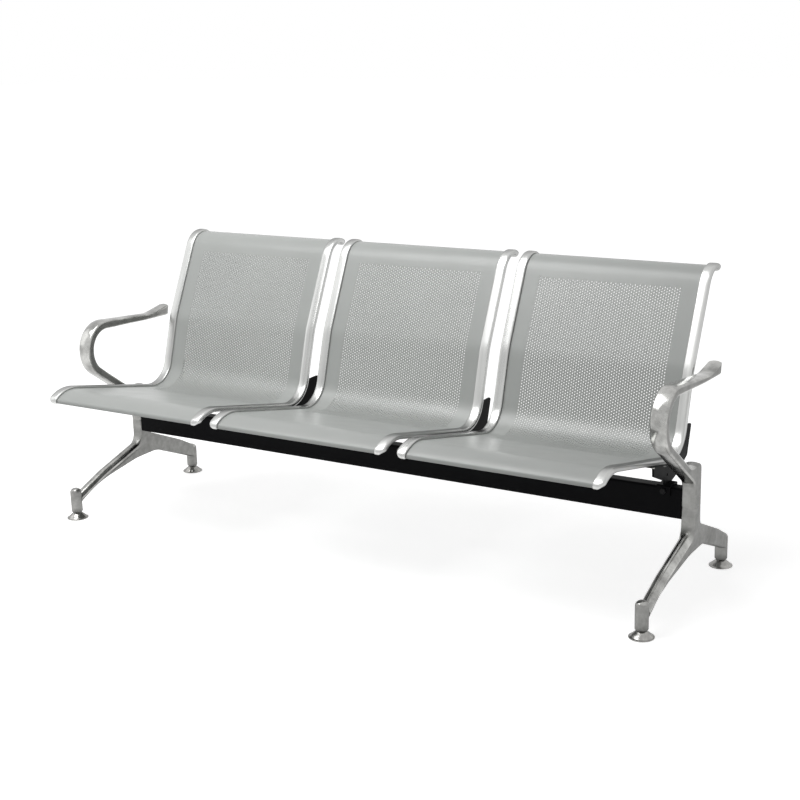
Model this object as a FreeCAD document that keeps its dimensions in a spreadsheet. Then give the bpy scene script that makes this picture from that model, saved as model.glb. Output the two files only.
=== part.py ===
import FreeCAD, Part
import math
import os
from types import SimpleNamespace

import Sketcher

# Three-seat waiting bench on one steel beam with cast aluminium ends.
# X runs along the bench, +X to the right as seen from the front.
# The sitters face -Y and +Z is up.
# The origin is on the floor, under the middle of the bench.
# Lengths are in millimetres and angles in degrees.

Vector = FreeCAD.Vector
Placement = FreeCAD.Placement
Rotation = FreeCAD.Rotation

os.makedirs("parts", exist_ok=True)
doc = FreeCAD.newDocument("Bench")

# Driving dimensions
SIZES = {
    # seats: pitch, half width of the shell that shows, and how far it enters the rail
    "seat_pitch": 560,
    "shell_half": 237.4,
    "slot_depth": 8.6,
    "sheet_thick": 2,
    # seat profile: the corner where the pan's line and the back's line would meet
    "corner_y": 110.15,
    "corner_z": 320.6,
    "pan_slope": 11.6,
    "pan_length": 385.6,
    "seat_bend": 80,
    "low_back_lean": 16.2,
    "low_back_length": 213.9,
    "lumbar_bend": 200,
    "back_lean": 25.3,
    "back_length": 220,
    "front_bend": 100,
    "front_fall": 32,
    "nose_bend": 9,
    "nose_end": 110,
    "top_bend": 60,
    "top_roll": 30,
    "top_end": 60,
    # plain grid of openings that stands for the seat's perforations
    "opening_radius": 10.5,
    "opening_pitch": 33,
    "opening_step": 34.4,
    "opening_first": 240,
    # seat rails
    "rail_width": 26.6,
    "rail_front": 7,
    "rail_rear": 6,
    "rail_round": 5,
    "slot_gap": 0.3,
    # beam: rectangular tube
    "beam_length": 1701.6,
    "beam_depth": 38,
    "beam_height": 76,
    "beam_wall": 3,
    "beam_round": 5,
    "beam_y": 56,
    "beam_z": 231,
    # end castings
    "end_x": 869,
    "end_width": 36,
    "post_front": 36,
    "post_rear": 75,
    "seam_z": 226,
    "tongue_length": 60,
    "tongue_depth": 30,
    "arm_tongue_low": 228,
    "arm_tongue_high": 252,
    "leg_tongue_low": 199,
    "leg_tongue_high": 224,
    "casting_round": 6,
    # arm loop
    "loop_left": -160,
    "loop_top": 551,
    "loop_band": 23,
    "loop_round": 83,
    "arm_tip_y": 203,
    # legs and feet
    "foot_front_y": -234,
    "foot_rear_y": 276,
    "leg_width": 34,
    "foot_post_radius": 15.9,
    "foot_post_low": 20,
    "foot_post_high": 89,
    "foot_dome": 11,
    "stud_radius": 5,
    "stud_low": 8.4,
    "stud_high": 76,
    "stud_bore": 5.06,
    "stud_bore_high": 84,
    "pad_radius": 30,
    "pad_rim": 2.6,
    "pad_top_radius": 14,
    "pad_height": 16.5,
    "pad_bore_low": 8,
    # seat brackets
    "bracket_x": 247,
    "web_thick": 5,
    "web_front_y": -33,
    "web_front_z": 313,
    "web_rear_y": 122,
    "web_rear_z": 284,
    "web_foot": 12,
    "web_hole_y": 50,
    "web_hole_z": 296,
    "web_hole_radius": 3.5,
    "flange_thick": 4.6,
    "flange_gap": 0.2,
    "flange_rise": 4,
    "flange_width": 25,
    "flange_front_y": -74,
    "saddle_width": 34,
    "saddle_wall": 5,
    "saddle_drop": 20,
    "saddle_round": 4,
    "fin_top_z": 388,
    "fin_rear_y": 200,
    "fin_round": 6,
    "fin_waist_y": 178,
    "fin_waist_z": 312,
    # fasteners
    "bolt_radius": 4,
    "bolt_head_flats": 13,
    "bolt_head_high": 5.3,
    "bracket_bolt_z": 260,
    "screw_radius": 2.5,
    "screw_head_radius": 4.5,
    "screw_head_high": 2.8,
    "screw_length": 8,
    "screw_side": 7.4,
    "end_bolt_head_radius": 6.5,
    "end_bolt_head_high": 8,
    "end_bolt_length": 25,
    "end_bolt_inset": 15,
    "end_bolt_spacing": 30,
    "arm_bolt_z": 239,
    "leg_bolt_z": 210,
}

sheet = doc.addObject("Spreadsheet::Sheet", "Sizes")
for row, (alias, number) in enumerate(SIZES.items(), start=1):
    sheet.set(f"A{row}", alias)
    sheet.set(f"B{row}", str(number))
    sheet.setAlias(f"B{row}", alias)
doc.recompute()


class Size:
    """A number together with the sheet formula that it comes from."""

    def __init__(self, value, text):
        self.value = value
        self.text = text

    def __add__(self, other):
        other = size(other)
        return Size(self.value + other.value, f"({self.text} + {other.text})")

    def __sub__(self, other):
        other = size(other)
        return Size(self.value - other.value, f"({self.text} - {other.text})")

    def __mul__(self, other):
        other = size(other)
        return Size(self.value * other.value, f"{self.text} * {other.text}")

    def __truediv__(self, other):
        other = size(other)
        return Size(self.value / other.value, f"{self.text} / {other.text}")

    def __neg__(self):
        return Size(-self.value, f"(0 - {self.text})")

    __radd__ = __add__
    __rmul__ = __mul__

    def __rsub__(self, other):
        return size(other) - self


def size(number):
    if isinstance(number, Size):
        return number
    return Size(float(number), f"({float(number)})")


def sine(angle):
    return Size(math.sin(math.radians(angle.value)), f"sin({angle.text})")


def cosine(angle):
    return Size(math.cos(math.radians(angle.value)), f"cos({angle.text})")


def tangent(angle):
    return Size(math.tan(math.radians(angle.value)), f"tan({angle.text})")


d = SimpleNamespace(**{alias: Size(float(number), f"Sizes.{alias}") for alias, number in SIZES.items()})

# Sides and seats
SIDES = {"left": -1, "right": 1}
SEATS = {"left": -1, "centre": 0, "right": 1}


# Document helpers
def bind(item, property_name, amount):
    """Give a property its value and tie it to the sheet."""
    item.setExpression(property_name, size(amount).text)


def new_body(label):
    body = doc.addObject("PartDesign::Body", label)
    body.Label = label
    return body


def new_sketch(body, role, offset=0):
    """A sketch on one of the body's origin planes, moved along the plane's normal."""
    sketch = body.newObject("Sketcher::SketchObject", "Sketch")
    plane = next(item for item in body.Origin.OriginFeatures if item.Role == role)
    sketch.AttachmentSupport = [(plane, "")]
    sketch.MapMode = "FlatFace"
    bind(sketch, "AttachmentOffset.Base.z", offset)
    return sketch


def constrain(sketch, kind, *details):
    """Add one constraint whose last detail is its size, tied to the sheet."""
    *where, amount = details
    amount = size(amount)
    index = sketch.addConstraint(Sketcher.Constraint(kind, *where, amount.value))
    sketch.setExpression(f"Constraints[{index}]", amount.text)


def place_point(sketch, geometry, position, across, up):
    constrain(sketch, "DistanceX", -1, 1, geometry, position, across)
    constrain(sketch, "DistanceY", -1, 1, geometry, position, up)


def arc_between(start, end, radius, turn):
    """The shorter arc from start to end; turn is 1 to the left and -1 to the right."""
    chord = end - start
    middle = (start + end) * 0.5
    rise = math.sqrt(max(radius ** 2 - chord.Length ** 2 / 4, 0))
    normal = Vector(-chord.y, chord.x, 0).normalize()
    centre = middle + normal * (rise * turn)
    first, last = (start, end) if turn > 0 else (end, start)
    begin = math.atan2(first.y - centre.y, first.x - centre.x)
    finish = math.atan2(last.y - centre.y, last.x - centre.x)
    circle = Part.Circle(centre, Vector(0, 0, 1), radius)
    return Part.ArcOfCircle(circle, begin, finish)


def draw_outline(sketch, points, bends):
    """Close an outline through points; each bend is None or a radius and a turn."""
    places = [Vector(across.value, up.value, 0) for across, up in points]
    ends = []
    for index, bend in enumerate(bends):
        start = places[index]
        end = places[(index + 1) % len(places)]
        if bend is None:
            geometry = sketch.addGeometry(Part.LineSegment(start, end))
            ends.append((geometry, 1, 2))
        else:
            radius, turn = bend
            geometry = sketch.addGeometry(arc_between(start, end, radius.value, turn))
            constrain(sketch, "Radius", geometry, radius)
            ends.append((geometry, 1, 2) if turn > 0 else (geometry, 2, 1))
    for index, (across, up) in enumerate(points):
        geometry, first, _ = ends[index]
        previous, _, last = ends[index - 1]
        sketch.addConstraint(Sketcher.Constraint("Coincident", previous, last, geometry, first))
        place_point(sketch, geometry, first, across, up)


def draw_rounded(sketch, corners):
    """Close an outline of straight sides; each corner is across, up and its radius."""
    corners = [[size(amount) for amount in corner] for corner in corners]
    places = [Vector(across.value, up.value, 0) for across, up, _ in corners]
    count = len(corners)
    entries = []
    exits = []
    turns = []
    for index, (_, _, radius) in enumerate(corners):
        arriving = (places[index] - places[index - 1]).normalize()
        leaving = (places[(index + 1) % count] - places[index]).normalize()
        turn = math.atan2(arriving.cross(leaving).z, arriving.dot(leaving))
        setback = radius.value * math.tan(abs(turn) / 2)
        entries.append(places[index] - arriving * setback)
        exits.append(places[index] + leaving * setback)
        turns.append(math.copysign(1, turn))
    sides = []
    for index in range(count):
        line = Part.LineSegment(exits[index], entries[(index + 1) % count])
        sides.append(sketch.addGeometry(line))
    for index, (across, up, radius) in enumerate(corners):
        arriving = sides[index - 1]
        leaving = sides[index]
        if radius.value == 0:
            sketch.addConstraint(Sketcher.Constraint("Coincident", arriving, 2, leaving, 1))
            place_point(sketch, leaving, 1, across, up)
            continue
        turn = turns[index]
        arc = sketch.addGeometry(arc_between(entries[index], exits[index], radius.value, turn))
        first, last = (1, 2) if turn > 0 else (2, 1)
        sketch.addConstraint(Sketcher.Constraint("Tangent", arriving, 2, arc, first))
        sketch.addConstraint(Sketcher.Constraint("Tangent", arc, last, leaving, 1))
        constrain(sketch, "Radius", arc, radius)
        corner = sketch.addGeometry(Part.Point(places[index]), True)
        place_point(sketch, corner, 1, across, up)
        sketch.addConstraint(Sketcher.Constraint("PointOnObject", corner, 1, arriving))
        sketch.addConstraint(Sketcher.Constraint("PointOnObject", corner, 1, leaving))


def draw_circle(sketch, across, up, radius):
    across, up, radius = size(across), size(up), size(radius)
    circle = Part.Circle(Vector(across.value, up.value, 0), Vector(0, 0, 1), radius.value)
    geometry = sketch.addGeometry(circle)
    constrain(sketch, "Radius", geometry, radius)
    place_point(sketch, geometry, 3, across, up)


def pad(body, sketch, length, both_ways=False):
    feature = body.newObject("PartDesign::Pad", "Pad")
    feature.Profile = sketch
    feature.SideType = "Symmetric" if both_ways else "One side"
    bind(feature, "Length", length)
    return feature


def pocket(body, sketch, length, both_ways=False, reverse=False):
    feature = body.newObject("PartDesign::Pocket", "Pocket")
    feature.Profile = sketch
    feature.SideType = "Symmetric" if both_ways else "One side"
    feature.Reversed = reverse
    bind(feature, "Length", length)
    return feature


def revolve(body, sketch):
    """Turn a half section about its sketch's upright axis."""
    feature = body.newObject("PartDesign::Revolution", "Revolution")
    feature.Profile = sketch
    feature.ReferenceAxis = (sketch, ["V_Axis"])
    feature.Angle = 360
    return feature


def round_edges(body, base, chosen, radius):
    """Fillet the edges of base that chosen accepts."""
    doc.recompute()
    edges = base.Shape.Edges
    names = [f"Edge{index}" for index, edge in enumerate(edges, start=1) if chosen(edge)]
    feature = body.newObject("PartDesign::Fillet", "Fillet")
    feature.Base = (base, names)
    bind(feature, "Radius", radius)
    return feature


def primitive(kind, label, place, **amounts):
    item = doc.addObject(f"Part::{kind}", label)
    for name, amount in amounts.items():
        bind(item, name, amount)
    item.Placement = place
    return item


def place(across, along, up, axis=Vector(0, 0, 1)):
    """A placement at a point, with the item's Z axis turned to the given axis."""
    return Placement(Vector(across, along, up), Rotation(Vector(0, 0, 1), axis))


def group(label, items):
    compound = doc.addObject("Part::Compound", label)
    compound.Links = items
    compound.Label = label
    return compound


def drill(label, base, tools):
    """Cut the tools out of base and give the result the piece's name."""
    base.Label = f"{label}_blank"
    holes = group(f"{label}_holes", tools)
    cut = doc.addObject("Part::Cut", label)
    cut.Base = base
    cut.Tool = holes
    cut.Label = label
    return cut


# Seat profile, drawn in the YZ plane from the front lip to the top lip
def step(node, heading, length):
    across, up, _ = node
    return across + cosine(heading) * length, up + sine(heading) * length, heading


def right_turn(node, radius, heading, backwards=False):
    """The other end of an arc that turns right; backwards goes to where it began."""
    across, up, now = node
    sign = -1 if backwards else 1
    first, last = (heading, now) if backwards else (now, heading)
    sideways = (sine(first) - sine(last)) * radius
    upwards = (cosine(last) - cosine(first)) * radius
    return across + sideways * sign, up + upwards * sign, heading


pan_heading = -d.pan_slope
low_back_heading = 90 - d.low_back_lean
back_heading = 90 - d.back_lean
seat_corner = (d.corner_y, d.corner_z, pan_heading)
lumbar_corner = step(seat_corner, low_back_heading, d.low_back_length)
bend_setback = d.seat_bend * tangent((low_back_heading - pan_heading) / 2)
lumbar_setback = d.lumbar_bend * tangent((low_back_heading - back_heading) / 2)

pan_front = step(seat_corner, pan_heading, -d.pan_length)
pan_rear = step(seat_corner, pan_heading, -bend_setback)
lip_start = right_turn(pan_front, d.front_bend, d.front_fall, backwards=True)
nose_start = right_turn(lip_start, d.nose_bend, d.nose_end, backwards=True)
low_back_start = step(seat_corner, low_back_heading, bend_setback)
low_back_end = step(lumbar_corner, low_back_heading, -lumbar_setback)
back_start = step(lumbar_corner, back_heading, lumbar_setback)
back_end = step(lumbar_corner, back_heading, d.back_length)
top_end = right_turn(back_end, d.top_bend, size(0))
roll_end = right_turn(top_end, d.top_roll, -d.top_end)

SEAT_NODES = [
    nose_start,
    lip_start,
    pan_front,
    pan_rear,
    low_back_start,
    low_back_end,
    back_start,
    back_end,
    top_end,
    roll_end,
]
SEAT_BENDS = [
    (d.nose_bend, -1),
    (d.front_bend, -1),
    None,
    (d.seat_bend, 1),
    None,
    (d.lumbar_bend, -1),
    None,
    (d.top_bend, -1),
    (d.top_roll, -1),
]


def beside(node, offset):
    """The point that lies offset to the sitter's side of the profile."""
    across, up, heading = node
    return across - sine(heading) * offset, up + cosine(heading) * offset


def draw_ribbon(sketch, nodes, bends, low, high):
    """Outline the band between two offsets of a path."""
    near = [beside(node, high) for node in nodes]
    far = [beside(node, low) for node in reversed(nodes)]
    near_bends = [bend and (bend[0] - high * bend[1], bend[1]) for bend in bends]
    far_bends = [bend and (bend[0] - low * bend[1], -bend[1]) for bend in reversed(bends)]
    draw_outline(sketch, near + far, near_bends + [None] + far_bends + [None])


def arc_length(radius, angle):
    return radius * angle * math.radians(1)


# The part of the profile that carries openings: start, bend and length of each stretch
seat_bend_length = arc_length(d.seat_bend, low_back_heading - pan_heading)
lumbar_bend_length = arc_length(d.lumbar_bend, low_back_heading - back_heading)
FIELD = [
    (pan_front, None, d.pan_length - bend_setback),
    (pan_rear, (d.seat_bend, 1), seat_bend_length),
    (low_back_start, None, d.low_back_length - bend_setback - lumbar_setback),
    (low_back_end, (d.lumbar_bend, -1), lumbar_bend_length),
    (back_start, None, d.back_length - lumbar_setback),
]


def field_place(length):
    """The point and heading of the profile at a length from the pan's front."""
    for start, bend, run in FIELD:
        if length.value <= run.value:
            break
        length = length - run
    if bend is None:
        return step(start, start[2], length)
    radius, turn = bend
    across, up, heading = start
    now = heading + length / radius * math.degrees(1) * turn
    sideways = (sine(now) - sine(heading)) * radius * turn
    upwards = (cosine(heading) - cosine(now)) * radius * turn
    return across + sideways, up + upwards, now


# Seats
OPENING_COLUMNS = 12
OPENING_ROWS = 16


def open_row(body, row):
    """One row of round openings, cut square to the sheet at its place on the profile."""
    across, up, heading = field_place(d.opening_first + d.opening_step * row)
    sketch = new_sketch(body, "XZ_Plane", -across)
    tilt = Rotation(Vector(-1, 0, 0), 90 - heading.value)
    sketch.AttachmentOffset = Placement(Vector(0, up.value, -across.value), tilt)
    bind(sketch, "AttachmentOffset.Base.y", up)
    bind(sketch, "AttachmentOffset.Rotation.Angle", 90 - heading)
    for column in range(OPENING_COLUMNS):
        middle = d.opening_pitch * (column - (OPENING_COLUMNS - 1) / 2)
        draw_circle(sketch, middle, 0, d.opening_radius)
    pocket(body, sketch, d.sheet_thick * 4, both_ways=True)


def make_shell(seat):
    body = new_body(f"{seat}_seat_shell")
    sketch = new_sketch(body, "YZ_Plane")
    draw_ribbon(sketch, SEAT_NODES, SEAT_BENDS, -d.sheet_thick / 2, d.sheet_thick / 2)
    pad(body, sketch, (d.shell_half + d.slot_depth - d.slot_gap) * 2, both_ways=True)
    for row in range(OPENING_ROWS):
        open_row(body, row)
    body.Placement = Placement(Vector(SEATS[seat] * d.seat_pitch.value, 0, 0), Rotation())
    return body


def make_rail(seat, side):
    label = f"{seat}_seat_{side}_rail"
    hand = SIDES[side]
    body = new_body(label)
    near = d.shell_half if hand > 0 else -d.shell_half - d.rail_width
    sketch = new_sketch(body, "YZ_Plane", near)
    draw_ribbon(sketch, SEAT_NODES, SEAT_BENDS, -d.rail_rear, d.rail_front)
    bar = pad(body, sketch, d.rail_width)
    outer_x = hand * (d.shell_half.value + d.rail_width.value)
    front_places = [beside(node, d.rail_front) for node in SEAT_NODES]

    def on_outer_front(edge):
        return all(
            abs(vertex.Point.x - outer_x) < 0.01
            and any(
                math.hypot(vertex.Point.y - across.value, vertex.Point.z - up.value) < 0.05
                for across, up in front_places
            )
            for vertex in edge.Vertexes
        )

    round_edges(body, bar, on_outer_front, d.rail_round)
    slot_x = d.shell_half if hand > 0 else -d.shell_half - d.slot_depth
    slot = new_sketch(body, "YZ_Plane", slot_x)
    half = d.sheet_thick / 2 + d.slot_gap
    draw_ribbon(slot, SEAT_NODES, SEAT_BENDS, -half, half)
    pocket(body, slot, d.slot_depth, reverse=True)
    shift = Vector(SEATS[seat] * d.seat_pitch.value, 0, 0)
    body.Placement = Placement(shift, Rotation())
    return drill(label, body, screw_holes(seat, side))


# Brackets
def along_profile(heading, start, up):
    """The point of the profile's straight stretch at the height up."""
    length = (up - start[1]) / sine(heading)
    return step(start, heading, length)


def along_pan(across):
    return step(seat_corner, pan_heading, (across - d.corner_y) / cosine(pan_heading))


flange_front = along_pan(d.flange_front_y)
fin_top = along_profile(low_back_heading, seat_corner, d.fin_top_z)
flange_top = along_profile(low_back_heading, seat_corner, d.fin_top_z + d.flange_rise)
FLANGE_NODES = [flange_front, pan_rear, low_back_start, flange_top]
FLANGE_BENDS = [None, (d.seat_bend, 1), None]
SCREW_PLACES = {"front": -50, "rear": 20}


def screw_spot(seat, side, across):
    """The head seat and axis of one rail screw, which enters from below."""
    along, up, heading = along_pan(size(across))
    normal = Vector(0, -math.sin(math.radians(heading.value)), math.cos(math.radians(heading.value)))
    depth = d.rail_rear.value + d.flange_gap.value + d.flange_thick.value
    x = SEATS[seat] * d.seat_pitch.value + SIDES[side] * (d.bracket_x.value + d.screw_side.value)
    return Vector(x, along.value, up.value) - normal * depth, normal


def screw_holes(seat, side):
    holes = []
    for name, across in SCREW_PLACES.items():
        spot, normal = screw_spot(seat, side, across)
        label = f"{seat}_{side}_{name}_screw_hole"
        spot_place = Placement(spot - normal * 0.01, Rotation(Vector(0, 0, 1), normal))
        hole = primitive("Cylinder", label, spot_place, Radius=d.screw_radius, Height=d.screw_length)
        holes.append(hole)
    return holes


def make_bracket(seat, side):
    label = f"{seat}_seat_{side}_bracket"
    body = new_body(label)
    saddle_y = d.beam_depth / 2 + d.saddle_wall
    beam_top = d.beam_z + d.beam_height / 2
    web_low = beam_top + d.saddle_wall / 2
    saddle_front = d.beam_y - saddle_y
    saddle_rear = d.beam_y + saddle_y

    web = new_sketch(body, "YZ_Plane")
    inset = -d.rail_rear - d.flange_gap - d.flange_thick / 2
    points = [
        beside(along_pan(d.web_front_y), inset),
        beside(pan_rear, inset),
        beside(low_back_start, inset),
        beside(fin_top, inset),
        (d.fin_rear_y - d.fin_round, d.fin_top_z),
        (d.fin_rear_y, d.fin_top_z - d.fin_round),
        (d.fin_waist_y, d.fin_waist_z),
        (d.web_rear_y, d.web_rear_z),
        (saddle_rear - d.saddle_wall, web_low),
        (saddle_front + d.saddle_wall, web_low),
        (saddle_front + d.saddle_wall, web_low + d.web_foot),
        (d.web_front_y, d.web_front_z),
    ]
    bends = [None] * len(points)
    bends[1] = (d.seat_bend - inset, 1)
    bends[4] = (d.fin_round, -1)
    draw_outline(web, points, bends)
    pad(body, web, d.web_thick, both_ways=True)

    flange = new_sketch(body, "YZ_Plane")
    high = -d.rail_rear - d.flange_gap
    draw_ribbon(flange, FLANGE_NODES, FLANGE_BENDS, high - d.flange_thick, high)
    pad(body, flange, d.flange_width, both_ways=True)

    saddle = new_sketch(body, "YZ_Plane")
    low_z = beam_top - d.saddle_drop
    inner_front = saddle_front + d.saddle_wall
    inner_rear = saddle_rear - d.saddle_wall
    corners = [
        (saddle_front, low_z, 0),
        (saddle_front, beam_top + d.saddle_wall, d.saddle_round),
        (saddle_rear, beam_top + d.saddle_wall, d.saddle_round),
        (saddle_rear, low_z, 0),
        (inner_rear, low_z, 0),
        (inner_rear, beam_top, 0),
        (inner_front, beam_top, 0),
        (inner_front, low_z, 0),
    ]
    draw_rounded(saddle, corners)
    pad(body, saddle, d.saddle_width, both_ways=True)

    hole = new_sketch(body, "YZ_Plane")
    draw_circle(hole, d.web_hole_y, d.web_hole_z, d.web_hole_radius)
    pocket(body, hole, d.web_thick * 2, both_ways=True)

    bolt_hole = new_sketch(body, "XZ_Plane")
    draw_circle(bolt_hole, 0, d.bracket_bolt_z, d.bolt_radius)
    pocket(body, bolt_hole, 200, both_ways=True)

    x = SEATS[seat] * d.seat_pitch.value + SIDES[side] * d.bracket_x.value
    body.Placement = Placement(Vector(x, 0, 0), Rotation())
    return drill(label, body, screw_holes(seat, side))


# Beam
def bracket_bolt_places():
    for seat in SEATS.values():
        for side in SIDES.values():
            yield size(seat) * d.seat_pitch + size(side) * d.bracket_x


def end_bolt_places(hand):
    inner = d.end_x - d.end_width / 2
    for index in (0, 1):
        yield (inner - d.end_bolt_inset - d.end_bolt_spacing * index) * hand


def make_beam():
    body = new_body("beam")
    section = new_sketch(body, "YZ_Plane")
    for inset in (size(0), d.beam_wall):
        half_y = d.beam_depth / 2 - inset
        half_z = d.beam_height / 2 - inset
        corner = d.beam_round - inset
        corners = [
            (d.beam_y - half_y, d.beam_z - half_z, corner),
            (d.beam_y + half_y, d.beam_z - half_z, corner),
            (d.beam_y + half_y, d.beam_z + half_z, corner),
            (d.beam_y - half_y, d.beam_z + half_z, corner),
        ]
        draw_rounded(section, corners)
    pad(body, section, d.beam_length, both_ways=True)
    through = new_sketch(body, "XZ_Plane")
    for x in bracket_bolt_places():
        draw_circle(through, x, d.bracket_bolt_z, d.bolt_radius)
    pocket(body, through, 300, both_ways=True)
    rear = new_sketch(body, "XZ_Plane", -d.beam_y)
    for hand in SIDES.values():
        for x in end_bolt_places(hand):
            draw_circle(rear, x, d.arm_bolt_z, d.bolt_radius)
            draw_circle(rear, x, d.leg_bolt_z, d.bolt_radius)
    pocket(body, rear, d.beam_depth)
    return body


# End castings
def end_centre(hand):
    return d.end_x * hand


def add_tongue(body, hand, low, high, bolt_z):
    """The block that enters the beam, with its two tapped bolt holes."""
    inner = (d.end_x - d.end_width / 2 - d.tongue_length) * hand
    section = new_sketch(body, "YZ_Plane", inner if hand > 0 else inner - d.tongue_length - 1)
    half_y = d.tongue_depth / 2
    corners = [
        (d.beam_y - half_y, low, 2),
        (d.beam_y + half_y, low, 2),
        (d.beam_y + half_y, high, 2),
        (d.beam_y - half_y, high, 2),
    ]
    draw_rounded(section, corners)
    pad(body, section, d.tongue_length + 1)
    holes = new_sketch(body, "XZ_Plane", d.beam_depth / 2 - d.beam_y)
    for x in end_bolt_places(hand):
        draw_circle(holes, x, bolt_z, d.bolt_radius)
    pocket(body, holes, d.beam_depth)


def make_arm(side):
    hand = SIDES[side]
    body = new_body(f"{side}_arm")
    sketch = new_sketch(body, "YZ_Plane", end_centre(hand))
    radius = d.loop_round
    band = d.loop_band
    corners = [
        (d.post_front, d.seam_z, 0),
        (d.post_front, 286.8, 25),
        (d.loop_left, 425, radius),
        (d.loop_left, 557.7, radius - 4),
        (118, 535.8, 130),
        (d.arm_tip_y, 553.5, 10),
        (d.arm_tip_y - 6, 520.5, 8),
        (95, 521, 200),
        (d.loop_left + band, 530.4, radius - band - 3),
        (d.loop_left + band, 436.9, radius - band),
        (8, 334, 40),
        (d.post_rear, 331, 12),
        (d.post_rear, d.seam_z, 0),
    ]
    draw_rounded(sketch, corners)
    blank = pad(body, sketch, d.end_width, both_ways=True)
    side_faces = [end_centre(hand).value + sign * d.end_width.value / 2 for sign in (-1, 1)]

    def on_side_face(edge):
        above = edge.BoundBox.ZMax > d.seam_z.value + 1
        return above and any(
            all(abs(vertex.Point.x - face) < 0.01 for vertex in edge.Vertexes) for face in side_faces
        )

    round_edges(body, blank, on_side_face, d.casting_round)
    add_tongue(body, hand, d.arm_tongue_low, d.arm_tongue_high, d.arm_bolt_z)
    return body


def make_leg(side):
    hand = SIDES[side]
    body = new_body(f"{side}_leg")
    sketch = new_sketch(body, "YZ_Plane", end_centre(hand))
    corners = [
        (d.post_front, d.seam_z, 0),
        (d.post_front, 165, 25),
        (-128, 113, 500),
        (d.foot_front_y, 68, 0),
        (d.foot_front_y, 46, 0),
        (-150, 86, 350),
        (10, 115, 200),
        (105, 118, 110),
        (d.foot_rear_y, 48, 0),
        (d.foot_rear_y, 88, 0),
        (218, 119, 70),
        (d.post_rear, 180, 20),
        (d.post_rear, d.seam_z, 0),
    ]
    draw_rounded(sketch, corners)
    blank = pad(body, sketch, d.leg_width, both_ways=True)
    side_faces = [end_centre(hand).value + sign * d.leg_width.value / 2 for sign in (-1, 1)]

    def on_leg_side(edge):
        box = edge.BoundBox
        below = box.ZMin < d.seam_z.value - 1
        inside = box.YMax > d.foot_front_y.value + 1 and box.YMin < d.foot_rear_y.value - 1
        return below and inside and any(
            all(abs(vertex.Point.x - face) < 0.01 for vertex in edge.Vertexes) for face in side_faces
        )

    round_edges(body, blank, on_leg_side, d.casting_round)
    upright = new_sketch(body, "XY_Plane", d.seam_z - 50)
    middle_y = (d.post_front + d.post_rear) / 2
    half_y = (d.post_rear - d.post_front) / 2
    half_x = d.end_width / 2
    centre_x = end_centre(hand)
    corners = [
        (centre_x - half_x, middle_y - half_y, 5),
        (centre_x + half_x, middle_y - half_y, 5),
        (centre_x + half_x, middle_y + half_y, 5),
        (centre_x - half_x, middle_y + half_y, 5),
    ]
    draw_rounded(upright, corners)
    pad(body, upright, 50)
    for foot_y in (d.foot_front_y, d.foot_rear_y):
        post = new_sketch(body, "XZ_Plane", -foot_y)
        bind(post, "AttachmentOffset.Base.x", centre_x)
        points = [
            (size(0), d.foot_post_low),
            (d.foot_post_radius, d.foot_post_low),
            (d.foot_post_radius, d.foot_post_high - d.foot_dome),
            (d.foot_post_radius - d.foot_dome, d.foot_post_high),
            (size(0), d.foot_post_high),
        ]
        draw_outline(post, points, [None, None, (d.foot_dome, 1), None, None])
        revolve(body, post)
    for foot_y in (d.foot_front_y, d.foot_rear_y):
        bore = new_sketch(body, "XY_Plane", d.foot_post_low)
        draw_circle(bore, centre_x, foot_y, d.stud_bore)
        pocket(body, bore, d.stud_bore_high - d.foot_post_low, reverse=True)
    add_tongue(body, hand, d.leg_tongue_low, d.leg_tongue_high, d.leg_bolt_z)
    return body


# Levelling feet
FEET = {"front": d.foot_front_y, "rear": d.foot_rear_y}


def make_pad(side, end):
    body = new_body(f"{side}_{end}_foot_pad")
    profile = new_sketch(body, "XZ_Plane")
    points = [
        (size(0), size(0)),
        (d.pad_radius - 1, size(0)),
        (d.pad_radius, size(1)),
        (d.pad_radius, d.pad_rim),
        (d.pad_top_radius, d.pad_height),
        (d.stud_bore, d.pad_height),
        (d.stud_bore, d.pad_bore_low),
        (size(0), d.pad_bore_low),
    ]
    bends = [None, None, None, (size(26), 1), None, None, None, None]
    draw_outline(profile, points, bends)
    revolve(body, profile)
    spot = Vector(end_centre(SIDES[side]).value, FEET[end].value, 0)
    body.Placement = Placement(spot, Rotation())
    return body


def make_stud(side, end):
    body = new_body(f"{side}_{end}_foot_stud")
    section = new_sketch(body, "XY_Plane", d.stud_low)
    draw_circle(section, 0, 0, d.stud_radius)
    shank = pad(body, section, d.stud_high - d.stud_low)
    doc.recompute()
    chamfer = body.newObject("PartDesign::Chamfer", "Chamfer")
    edges = shank.Shape.Edges
    names = [f"Edge{index}" for index, edge in enumerate(edges, start=1) if len(edge.Vertexes) == 1]
    chamfer.Base = (shank, names)
    chamfer.Size = 1
    spot = Vector(end_centre(SIDES[side]).value, FEET[end].value, 0)
    body.Placement = Placement(spot, Rotation())
    return body


# Fasteners
FORWARD = Vector(0, -1, 0)
REARWARD = Vector(0, 1, 0)


def make_bracket_bolt(name, x):
    """A hex bolt whose head bears on the saddle's front."""
    front = d.beam_y - d.beam_depth / 2 - d.saddle_wall
    grip = d.beam_depth + d.saddle_wall * 2 + 10
    head_place = place(x.value, front.value, d.bracket_bolt_z.value, FORWARD)
    shank_place = place(x.value, front.value, d.bracket_bolt_z.value, REARWARD)
    corner_radius = d.bolt_head_flats / math.sqrt(3)
    head = primitive(
        "Prism", f"{name}_head", head_place, Circumradius=corner_radius, Height=d.bolt_head_high
    )
    shank = primitive("Cylinder", f"{name}_shank", shank_place, Radius=d.bolt_radius, Height=grip)
    bolt = doc.addObject("Part::Fuse", name)
    bolt.Base = head
    bolt.Tool = shank
    return bolt


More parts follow.
